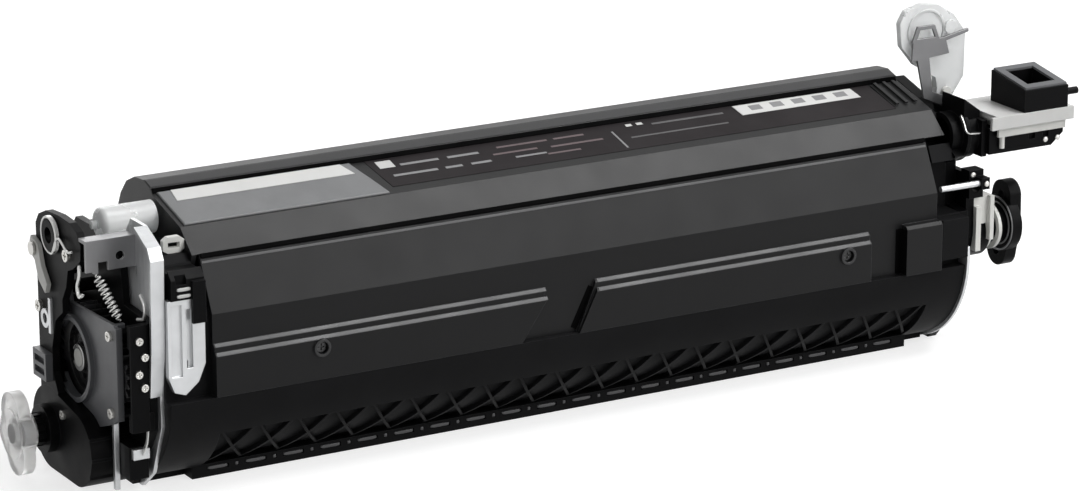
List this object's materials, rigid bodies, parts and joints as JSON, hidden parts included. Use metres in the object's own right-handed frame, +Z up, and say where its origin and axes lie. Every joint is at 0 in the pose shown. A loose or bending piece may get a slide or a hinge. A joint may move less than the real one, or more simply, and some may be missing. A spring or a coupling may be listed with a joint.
{
  "type": "toner cartridge",
  "caption": "Long black toner and developer cartridge with a magnetic roller, mixing augers, an end gear train and a shuttered toner inlet.",
  "frame": {"origin": "on the flat underside, midway along the front cover, 14 mm behind the front edge of the flat", "axes": "+X along the length towards the toner inlet, -Y the front with the label face, +Z up"},
  "size_m": [0.459, 0.0841, 0.144],
  "materials": {
    "black": "moulded black plastic with a fine grain",
    "cover": "dark grey moulded plastic, soft sheen",
    "grey_plate": "light grey raised plate",
    "label": "bare label stock",
    "data_label": "dark label with plain fields",
    "steel": "zinc-plated sheet",
    "screws": "zinc-plated screws",
    "roller": "grit-blasted sleeve",
    "magnet": "sintered magnet",
    "felt": "felt seal",
    "nylon": "natural nylon",
    "clear": "milky translucent plastic",
    "bush": "bearing plastic",
    "gear": "dark acetal gears",
    "seal": "foam rubber gasket",
    "panel": "dark grey moulded plastic"
  },
  "bodies": {
    "housing": {"bearing_bracket": "nylon", "blade_bar": "steel", "blade_screws": "screws", "clip_block": "black", "connector_box": "panel", "contact_ring": "steel", "contact_spring": "steel", "cover_screws": "screws", "data_label": "data_label", "doctor_blade": "steel", "drum_cover": "black", "end_seals": "felt", "filler_plug": "clear", "frame_rod": "steel", "front_cover": "cover", "front_screws": "screws", "gear_carrier": "black", "gear_panel": "panel", "grey_plate": "grey_plate", "ground_bracket": "steel", "ground_strip": "steel", "inlet_chute": "black", "inlet_neck": "black", "inlet_rail": "black", "inlet_seal": "seal", "inlet_tray": "steel", "inner_lid": "black", "latch_pin": "screws", "left_bushes": "bush", "left_end_plate": "steel", "lever_post": "nylon", "lower_housing": "black", "magnet_core": "magnet", "oval_clip": "nylon", "rear_cover": "black", "right_arc_strip": "steel", "right_bushes": "bush", "right_end_plate": "black", "right_frame": "black", "side_tab": "clear", "tension_spring": "steel", "tie_bar": "steel", "top_cover": "cover", "upright_plate": "black", "white_labels": "label", "wire_clip": "steel"},
    "roller": {"roller_sleeve": "roller", "roller_gear": "gear", "drive_coupling": "clear", "shaft_collar": "nylon"},
    "rear_auger_body": {"rear_auger": "nylon", "rear_gear": "gear"},
    "front_auger_body": {"front_auger": "nylon", "front_gear": "gear", "auger_coupling": "black", "coupling_rings": "nylon"},
    "idler_body": {"idler_gear": "gear"},
    "shutter_body": {"shutter": "nylon"},
    "flag_body": {"shutter_lever": "clear"},
    "latch_body": {"latch_lever": "nylon"}
  },
  "joints": [
    {"name": "roller_spin", "type": "hinge", "parent": "housing", "child": "roller", "pos_m": [-0.1935, 0.0185, 0.0165], "axis": [1, 0, 0], "continuous": true},
    {"name": "rear_auger_spin", "type": "hinge", "parent": "housing", "child": "rear_auger_body", "pos_m": [-0.1935, 0.005, 0.04743], "axis": [1, 0, 0], "continuous": true},
    {"name": "front_auger_spin", "type": "hinge", "parent": "housing", "child": "front_auger_body", "pos_m": [-0.1935, -0.02497, 0.04873], "axis": [1, 0, 0], "continuous": true},
    {"name": "idler_spin", "type": "hinge", "parent": "housing", "child": "idler_body", "pos_m": [-0.1935, -0.00517, 0.0145], "axis": [1, 0, 0], "continuous": true},
    {"name": "shutter_slide", "type": "slide", "parent": "housing", "child": "shutter_body", "axis": [1, 0, 0], "range_m": [0, 0.014]},
    {"name": "flag_hinge", "type": "hinge", "parent": "housing", "child": "flag_body", "pos_m": [0.1885, -0.0109, 0.1056], "axis": [0, 1, 0], "range_deg": [0, 40]},
    {"name": "latch_hinge", "type": "hinge", "parent": "housing", "child": "latch_body", "pos_m": [-0.2073, 0.0235, 0.0875], "axis": [1, 0, 0], "range_deg": [-20, 20]}
  ],
  "couplings": [
    {"joint": "rear_auger_spin", "follows": "roller_spin", "ratio": -0.6875},
    {"joint": "front_auger_spin", "follows": "roller_spin", "ratio": 1.375},
    {"joint": "idler_spin", "follows": "roller_spin", "ratio": -1.375}
  ]
}
